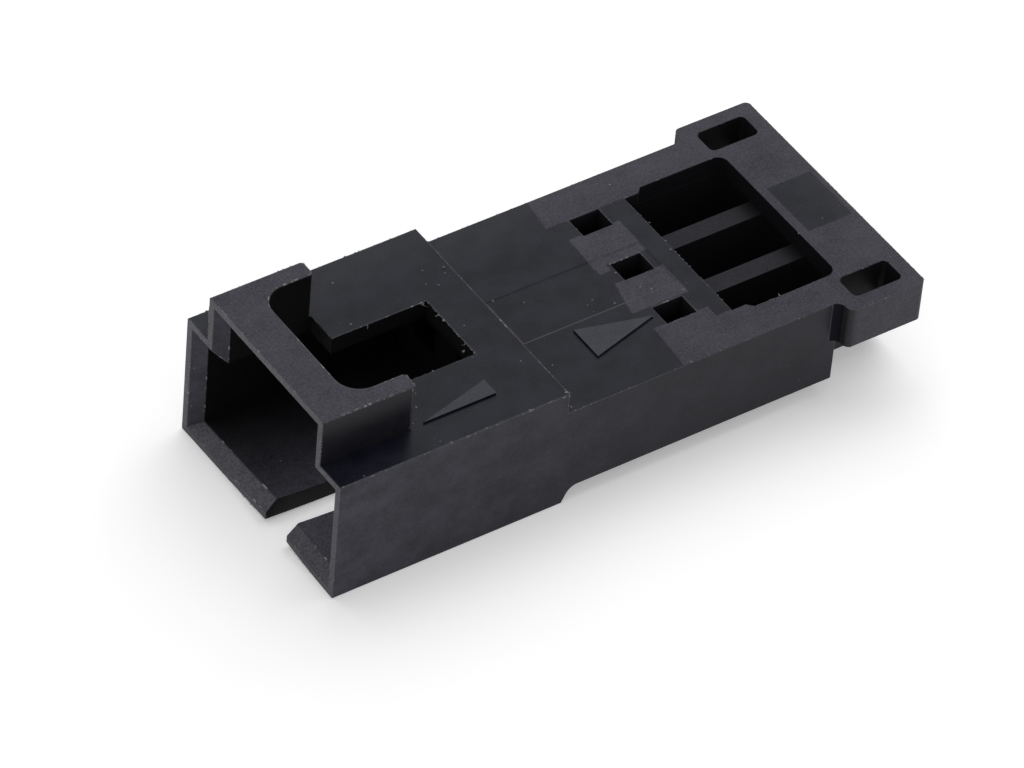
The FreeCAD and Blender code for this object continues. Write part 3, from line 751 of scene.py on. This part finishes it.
def finish_of(face, widest_round):
    """Which finish a face has, from where it is and which way it looks."""
    centre = face.calc_center_median()
    place = Vector(((centre.x - LOW.x) / MM, centre.y / MM, (centre.z - LOW.z) / MM))
    if face.normal.z > ALONG and any(abs(place.z - level) < NEAR for level in TOP_LEVELS):
        return TOP
    for finish, low, high in FINISH_BOXES:
        if all(a < value < b for a, value, b in zip(low, place, high)):
            return finish
    sides = sorted(face.edges, key=lambda edge: edge.calc_length(), reverse=True)
    slanted = max(abs(value) for value in face.normal) <= UNSLANTED
    rounded = slanted and all(edge.is_convex for edge in sides[:2])
    if rounded and face.calc_area() < widest_round * sides[0].calc_length():
        return EDGE
    # the mouth's end face, with its painted highlight
    if face.normal.x < -ALONG and place.x < MOUTH_END:
        return LAND
    # the sides of the bridge's legs, with painted shade
    if abs(face.normal.y) > ALONG and place.z > LEGS_ABOVE:
        return LEG_SHADE
    if face.normal.z < DOWN or abs(face.normal.y) > ALONG:
        return SIDE
    return ERODED


def slope_panel(mesh, draw):
    """Draws the sunk panel's floor in from its rim, so that its low walls lie aslant."""
    near = NEAR * MM
    start, end = (LOW.x + value * MM for value in PANEL_ENDS)
    for vertex in mesh.verts:
        x, y, z = vertex.co
        if abs(z - LOW.z - PANEL_FLOOR * MM) > near or abs(y) > PANEL_HALF * MM + near:
            continue
        if abs(abs(y) - PANEL_HALF * MM) < near:
            vertex.co.y -= math.copysign(draw, y)
        if abs(x - start) < near:
            vertex.co.x += draw
        if abs(x - end) < near:
            vertex.co.x -= draw


# The key slot's two walls, where the lips end, in millimetres across the mouth.
SLOT_WALLS = (-1.85, -0.55)
# Height of the mouth's floor, which is the top of the lips, and the height that they lie under.
LIP_TOP = 0.7
LIP_UNDER = 0.75
# Half the width of the floor without the shroud's sides.
LIP_HALF = 4.7
# Faces whose middle is up to this many times as far in as the lips bow are cut.
CUT_REACH = 1.2
# Powers by which the bow fades across a lip and into the mouth.
ACROSS_POWER = 1.6
DEPTH_POWER = 2


def select_lips(mesh, reach):
    """Selects the faces of the mouth's floor, inside and out, as far in as the lips are cut."""
    for face in mesh.faces:
        centre = face.calc_center_median()
        low = centre.z < LOW.z + LIP_UNDER * MM and abs(centre.y) < LIP_HALF * MM
        face.select_set(low and centre.x < LOW.x + CUT_REACH * reach)


def bow_lips(shell, warp):
    """Cuts the two lips beside the key slot into strips, and bows them up."""
    slot_low, slot_high = (value * MM for value in SLOT_WALLS)
    planes = []
    for step in range(1, warp.cuts + 1):
        share = step / (warp.cuts + 1)
        planes.append(((LOW.x + share * warp.reach, 0.0, 0.0), (1.0, 0.0, 0.0)))
        planes.append(((0.0, slot_high + share * (warp.root - slot_high), 0.0), (0.0, 1.0, 0.0)))
        planes.append(((0.0, slot_low - share * (warp.root + slot_low), 0.0), (0.0, 1.0, 0.0)))
    planes.append(((LOW.x + warp.reach, 0.0, 0.0), (1.0, 0.0, 0.0)))
    bpy.ops.mesh.select_mode(type="FACE")
    for place, normal in planes:
        mesh = bmesh.from_edit_mesh(shell.data)
        select_lips(mesh, warp.reach)
        bmesh.update_edit_mesh(shell.data)
        bpy.ops.mesh.bisect(plane_co=place, plane_no=normal)
    mesh = bmesh.from_edit_mesh(shell.data)
    for vertex in mesh.verts:
        x, y, z = vertex.co
        if z > LOW.z + LIP_UNDER * MM or abs(y) > warp.root or x > LOW.x + warp.reach:
            continue
        if y > (slot_low + slot_high) / 2:
            inner = (warp.root - y) / (warp.root - slot_high)
            rise = warp.far_rise + warp.far_swell * min(1.0, (z - LOW.z) / (LIP_TOP * MM))
        else:
            inner = (warp.root + y) / (warp.root + slot_low)
            rise = warp.near_rise
        outer = 1.0 - (x - LOW.x) / warp.reach
        vertex.co.z += rise * min(1.0, inner) ** ACROSS_POWER * outer ** DEPTH_POWER
    bmesh.update_edit_mesh(shell.data)
    bpy.ops.mesh.select_mode(type="EDGE")


class HOUSING_OT_shell(bpy.types.Operator):
    """Makes the moulding from the solid: broken edges, and its faces sorted by finish"""

    bl_idname = "housing.shell"
    bl_label = "Moulded shell"

    def execute(self, context):
        size = context.scene.housing_shell
        clear_selection()
        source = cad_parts["housing"]
        shell = bpy.data.objects.new("housing_shell", source.data.copy())
        context.scene.collection.objects.link(shell)
        make_active(shell)
        shell.data.materials.clear()
        for name in FINISHES:
            shell.data.materials.append(bpy.data.materials[name])
        bpy.ops.mesh.customdata_custom_splitnormals_clear()
        bpy.ops.object.mode_set(mode="EDIT")
        bpy.ops.mesh.select_all(action="SELECT")
        bpy.ops.mesh.remove_doubles(threshold=size.weld)
        bpy.ops.mesh.dissolve_limited(angle_limit=size.flat)
        bpy.ops.mesh.select_mode(type="EDGE")
        bpy.ops.mesh.select_all(action="DESELECT")
        mesh = bmesh.from_edit_mesh(shell.data)
        slope_panel(mesh, size.panel_draw)
        mesh.normal_update()
        for face in mesh.faces:
            face.material_index = finish_of(face, size.widest_round)
        bmesh.update_edit_mesh(shell.data)
        bow_lips(shell, context.scene.housing_warp)
        mesh = bmesh.from_edit_mesh(shell.data)
        for edge in mesh.edges:
            cored = all(face.material_index in CORED for face in edge.link_faces)
            edge.select_set(is_convex_sharp(edge, size) and not cored)
        bmesh.update_edit_mesh(shell.data)
        bpy.ops.mesh.bevel(
            offset=size.edge, offset_type="OFFSET", segments=2, profile=0.5, clamp_overlap=False,
            material=EDGE)
        bpy.ops.mesh.select_all(action="SELECT")
        bpy.ops.mesh.remove_doubles(threshold=size.weld)
        bpy.ops.object.mode_set(mode="OBJECT")
        bpy.ops.object.shade_smooth_by_angle(angle=SMOOTH_ANGLE)
        least, most = PANEL_WALLS_UP
        for polygon in shell.data.polygons:
            if least < polygon.normal.z < most and polygon.material_index == TOP:
                polygon.use_smooth = False
        weighted = shell.modifiers.new("weighted", "WEIGHTED_NORMAL")
        weighted.keep_sharp = True
        bpy.ops.object.modifier_apply(modifier=weighted.name)
        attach(shell, "root")
        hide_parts("housing")
        return {"FINISHED"}


# Edges that carry crumbs: their two ends in millimetres from the mouth, and how thickly they lie.
WORN_EDGES = (
    ((0.1, -4.74, 5.1), (9.1, -4.74, 5.1), 1.0),
    ((0.1, 4.74, 5.1), (9.1, 4.74, 5.1), 0.5),
    ((0.02, -3.5, 7.03), (0.02, 3.5, 7.03), 0.8),
    ((0.02, -3.5, 7.03), (3.6, -3.5, 7.03), 0.5),
    ((0.02, 3.5, 7.03), (3.6, 3.5, 7.03), 0.4),
    ((3.66, -3.5, 7.04), (3.66, -2.85, 7.04), 1.6),
    ((3.66, 3.5, 7.04), (3.66, 2.85, 7.04), 1.0),
    ((9.14, -4.7, 5.1), (9.14, 4.7, 5.1), 1.0),
    ((9.2, -4.74, 4.24), (20.0, -4.74, 4.24), 0.8),
    ((9.2, 4.74, 4.24), (20.0, 4.74, 4.24), 0.4),
    ((20.7, -5.36, 4.24), (23.5, -5.36, 4.24), 0.9),
    ((20.7, 5.36, 4.24), (23.5, 5.36, 4.24), 0.5),
    ((23.59, -5.3, 4.24), (23.59, 5.3, 4.24), 0.7),
    ((16.9, -3.0, 4.24), (16.9, 3.0, 4.24), 0.6),
    ((17.4, -3.48, 4.24), (20.7, -3.48, 4.24), 0.6),
    ((7.49, -1.5, 5.08), (7.49, 1.5, 5.08), 2.4),
    ((3.7, -1.5, 5.1), (7.4, -1.5, 5.1), 0.5),
    ((3.7, 1.5, 5.1), (7.4, 1.5, 5.1), 0.5),
    ((0.01, -4.74, 0.3), (0.01, -4.74, 4.9), 0.5),
    ((0.01, -3.5, 5.3), (0.01, -3.5, 6.9), 0.7),
    ((0.02, 3.5, 5.2), (0.02, 3.5, 6.9), 3.6),
    ((0.01, -4.6, 5.05), (0.01, -3.5, 5.05), 0.6),
    ((3.66, -3.49, 5.3), (3.66, -3.49, 6.9), 0.5),
    ((15.8, 2.4, 4.24), (15.8, 3.2, 4.24), 0.9),
    ((15.8, -0.1, 4.24), (15.8, 0.7, 4.24), 0.9),
    ((15.8, -2.7, 4.24), (15.8, -1.9, 4.24), 0.9),
    ((0.02, -0.3, 0.05), (0.02, 3.8, 0.05), 0.5),
    ((0.02, -4.0, 0.05), (0.02, -2.0, 0.05), 0.6),
)

# Single crumbs and grains of dust on the faces: place and radius in millimetres.
CRUMBS = (
    ((8.9, 2.6, 5.12), 0.05), ((8.26, 1.94, 5.12), 0.045), ((4.1, -4.5, 5.11), 0.05),
    ((4.4, -4.7, 5.1), 0.05), ((5.8, -4.72, 5.1), 0.045), ((8.6, -2.57, 5.12), 0.03),
    ((7.56, -4.72, 5.1), 0.05), ((9.1, -4.6, 5.1), 0.06),
    ((16.85, 4.1, 4.25), 0.03), ((16.9, 2.25, 4.25), 0.04), ((16.95, 1.8, 4.24), 0.035),
    ((16.92, 0.75, 4.24), 0.03), ((16.8, 0.3, 4.25), 0.03), ((21.15, -1.2, 4.25), 0.035),
    ((14.2, -4.7, 4.24), 0.05), ((16.9, -4.7, 4.24), 0.04), ((22.2, 1.23, 4.26), 0.035),
    ((23.55, -4.28, 4.24), 0.04), ((15.85, 3.2, 4.25), 0.025), ((14.3, -2.24, 4.3), 0.03),
    ((7.3, 1.42, 5.1), 0.06), ((7.2, -1.2, 5.1), 0.05), ((7.46, 0.4, 5.1), 0.05),
)

# Threads of flash: the points that each follows, in millimetres from the mouth.
THREADS = (
    ((5.02, 1.49, 5.1), (5.05, 1.42, 5.16), (5.0, 1.33, 5.2), (4.94, 1.25, 5.19)),
    ((3.72, -1.75, 5.08), (3.9, -1.7, 5.13), (4.1, -1.62, 5.12)),
    ((7.25, 1.49, 5.1), (7.2, 1.38, 5.15), (7.28, 1.28, 5.14), (7.36, 1.2, 5.13)),
    ((7.48, -0.9, 5.08), (7.4, -0.95, 5.1), (7.32, -0.92, 5.11)),
    ((7.48, 0.75, 5.08), (7.41, 0.7, 5.11), (7.31, 0.7, 5.12)),
    ((3.66, -2.9, 7.03), (3.7, -2.98, 6.97), (3.69, -3.1, 6.94)),
    ((3.67, -3.3, 7.0), (3.72, -3.36, 6.88), (3.7, -3.4, 6.75)),
    ((0.02, 3.49, 6.7), (0.03, 3.55, 6.4), (0.02, 3.54, 6.1), (0.03, 3.5, 5.8)),
    ((9.15, -4.6, 5.08), (9.24, -4.64, 5.06), (9.3, -4.62, 4.98)),
    ((18.74, -3.5, 4.24), (18.72, -3.42, 4.28), (18.8, -3.36, 4.27)),
    ((23.57, -4.2, 4.23), (23.58, -4.32, 4.24), (23.57, -4.42, 4.22)),
)


# The least and the most that a crumb is stretched along each axis.
CRUMB_STRETCHES = ((0.6, 1.5), (0.6, 1.2), (0.5, 0.9))
# A thread's sides, its steps from one point to the next, and what each step leaves of its width.
THREAD_SIDES = 6
THREAD_STEPS = 2
THREAD_TAPER = 0.86
# Torn plastic is crumpled by noise: how far against the smallest crumb, and its cells' size.
CRUMPLE_SHARE = 0.6
CRUMPLE_SIZE = 0.03 * MM


def add_crumb(place, radius, chance):
    """One crumb, squashed and turned by chance, added to the mesh that is being edited."""
    bpy.ops.mesh.primitive_ico_sphere_add(subdivisions=1, radius=radius, location=place)
    stretch = [chance.uniform(least, most) for least, most in CRUMB_STRETCHES]
    bpy.ops.transform.resize(value=stretch, center_override=place)
    turn = chance.uniform(0.0, math.pi)
    bpy.ops.transform.rotate(value=turn, orient_axis="Z", center_override=place)


def add_thread(points, radius):
    """One tapering thread along its points, added to the mesh that is being edited."""
    way = (points[1] - points[0]).to_track_quat("Z", "Y").to_euler()
    bpy.ops.mesh.primitive_circle_add(
        vertices=THREAD_SIDES, radius=radius, fill_type="NGON", location=points[0], rotation=way)
    for start, end in zip(points, points[1:]):
        move = {"value": (end - start) / THREAD_STEPS}
        for step in range(THREAD_STEPS):
            tip = start.lerp(end, (step + 1) / THREAD_STEPS)
            bpy.ops.mesh.extrude_region_move(TRANSFORM_OT_translate=move)
            bpy.ops.transform.resize(value=(THREAD_TAPER,) * 3, center_override=tip)


class HOUSING_OT_burrs(bpy.types.Operator):
    """Makes the crumbs and threads of torn plastic along the edges"""

    bl_idname = "housing.burrs"
    bl_label = "Burrs"

    def execute(self, context):
        burr = context.scene.housing_burr
        chance = random.Random(burr.seed)
        noise.seed_set(burr.seed)
        clear_selection()
        # an empty mesh to add to: one crumb with its vertices taken out
        bpy.ops.mesh.primitive_ico_sphere_add(subdivisions=1, radius=burr.largest)
        burrs = context.active_object
        burrs.name = "moulding_burrs"
        burrs.data.materials.append(bpy.data.materials["burr_plastic"])
        bpy.ops.object.mode_set(mode="EDIT")
        bpy.ops.mesh.delete(type="VERT")
        for start, end, share in WORN_EDGES:
            start, end = from_mouth(*start), from_mouth(*end)
            for _ in range(round((end - start).length * share / burr.spacing)):
                place = start.lerp(end, chance.random())
                radius = burr.smallest + (burr.largest - burr.smallest) * chance.random() ** 2
                add_crumb(place, radius, chance)
        for place, radius in CRUMBS:
            add_crumb(from_mouth(*place), radius * MM, chance)
        for points in THREADS:
            add_thread([from_mouth(*point) for point in points], burr.thread)
        mesh = bmesh.from_edit_mesh(burrs.data)
        crumple = burr.smallest * CRUMPLE_SHARE
        for vertex in mesh.verts:
            vertex.co += crumple * noise.noise_vector(vertex.co / CRUMPLE_SIZE)
            for axis in range(3):
                vertex.co[axis] = min(max(vertex.co[axis], LOW[axis]), HIGH[axis])
        bmesh.update_edit_mesh(burrs.data)
        bpy.ops.mesh.select_all(action="SELECT")
        bpy.ops.mesh.normals_make_consistent(inside=False)
        bpy.ops.object.mode_set(mode="OBJECT")
        bpy.ops.object.shade_smooth_by_angle(angle=SMOOTH_ANGLE)
        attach(burrs, "root")
        return {"FINISHED"}


def seen_mask(tree):
    """1 to the camera, in reflections and through glass, and 0 where only light is gathered."""
    path = put(tree, "ShaderNodeLightPath").outputs
    seen = maths(tree, "MAXIMUM", path["Is Camera Ray"], path["Is Glossy Ray"])
    return maths(tree, "MAXIMUM", seen, path["Is Transmission Ray"])


def stage_material(stage):
    """White paper that keeps the housing's shadow and is white to the camera and in reflections."""
    material, tree = new_material("white_paper")
    paper = put(tree, "ShaderNodeBsdfDiffuse", {"Color": colour4(stage.floor_colour)})
    strength = maths(tree, "MULTIPLY", seen_mask(tree), stage.floor_glow)
    glow = put(tree, "ShaderNodeEmission", {"Strength": strength})
    both = put(tree, "ShaderNodeAddShader", {0: paper.outputs[0], 1: glow.outputs[0]})
    put(tree, "ShaderNodeOutputMaterial", {"Surface": both.outputs[0]})
    return material


WHITE = (1.0, 1.0, 1.0, 1.0)


def light_room(stage):
    """World light from all round, and white to the camera and in reflections."""
    world = bpy.data.worlds.new("studio")
    bpy.context.scene.world = world
    world.use_nodes = True
    tree = world.node_tree
    tree.nodes.clear()
    strength = maths(tree, "MULTIPLY_ADD", seen_mask(tree), 1.0 - stage.sky, stage.sky)
    light = put(tree, "ShaderNodeBackground", {"Color": WHITE, "Strength": strength})
    put(tree, "ShaderNodeOutputWorld", {"Surface": light.outputs[0]})


# The width of the camera's sensor, in millimetres, and the nearest that it sees, in metres.
SENSOR_WIDTH = 36.0
NEAREST_SEEN = 0.01


class HOUSING_OT_stage(bpy.types.Operator):
    """Makes the paper floor, the softbox, the room light and the camera"""

    bl_idname = "housing.stage"
    bl_label = "White studio"

    def execute(self, context):
        stage = context.scene.housing_stage
        clear_selection()
        bpy.ops.mesh.primitive_plane_add(size=stage.floor_size, location=(0.0, 0.0, LOW.z))
        floor = context.active_object
        floor.name = "paper_floor"
        floor.data.materials.append(stage_material(stage))
        light_room(stage)
        place = Vector(stage.box_place)
        bpy.ops.object.light_add(
            type="AREA", location=place, rotation=(-place).to_track_quat("-Z", "Y").to_euler())
        lamp = context.active_object
        lamp.name = "softbox"
        lamp.data.shape = "SQUARE"
        lamp.data.size = stage.box_size
        # a square lamp of this radiance gives so many watts
        lamp.data.energy = stage.box_light * math.pi * stage.box_size ** 2
        lamp.visible_glossy = False
        bpy.ops.object.camera_add(location=stage.camera_place, rotation=stage.camera_turn)
        camera = context.active_object
        camera.name = "camera"
        camera.data.sensor_width = SENSOR_WIDTH
        camera.data.lens = stage.lens
        camera.data.clip_start = NEAREST_SEEN
        context.scene.camera = camera
        context.scene.view_settings.view_transform = "Standard"
        return {"FINISHED"}


class HOUSING_PT_looks(bpy.types.Panel):
    """Lists the housing's pieces and its studio"""

    bl_idname = "HOUSING_PT_looks"
    bl_label = "Connector housing"
    bl_space_type = "VIEW_3D"
    bl_region_type = "UI"
    bl_category = "Housing"

    def draw(self, context):
        for settings, kind in SETTINGS.items():
            column = self.layout.column()
            for name in kind.__annotations__:
                column.prop(getattr(context.scene, settings), name)
        for operator in OPERATORS:
            self.layout.operator(operator.bl_idname)


SETTINGS = {
    "housing_shell": ShellSettings, "housing_warp": WarpSettings, "housing_burr": BurrSettings,
    "housing_finish": FinishSettings, "housing_stage": StageSettings}
OPERATORS = (HOUSING_OT_finishes, HOUSING_OT_shell, HOUSING_OT_burrs, HOUSING_OT_stage)
CLASSES = (*SETTINGS.values(), *OPERATORS, HOUSING_PT_looks)


def register():
    """Adds the classes and the scene's settings."""
    for kind in CLASSES:
        bpy.utils.register_class(kind)
    for name, kind in SETTINGS.items():
        setattr(bpy.types.Scene, name, bpy.props.PointerProperty(type=kind))


def unregister():
    """Takes the settings and the classes out again."""
    for name in SETTINGS:
        delattr(bpy.types.Scene, name)
    for kind in reversed(CLASSES):
        bpy.utils.unregister_class(kind)


def main():
    """Builds every piece in order."""
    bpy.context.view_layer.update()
    register()
    bpy.ops.housing.finishes()
    bpy.ops.housing.shell()
    bpy.ops.housing.burrs()
    bpy.ops.housing.stage()


if __name__ == "__main__":
    main()
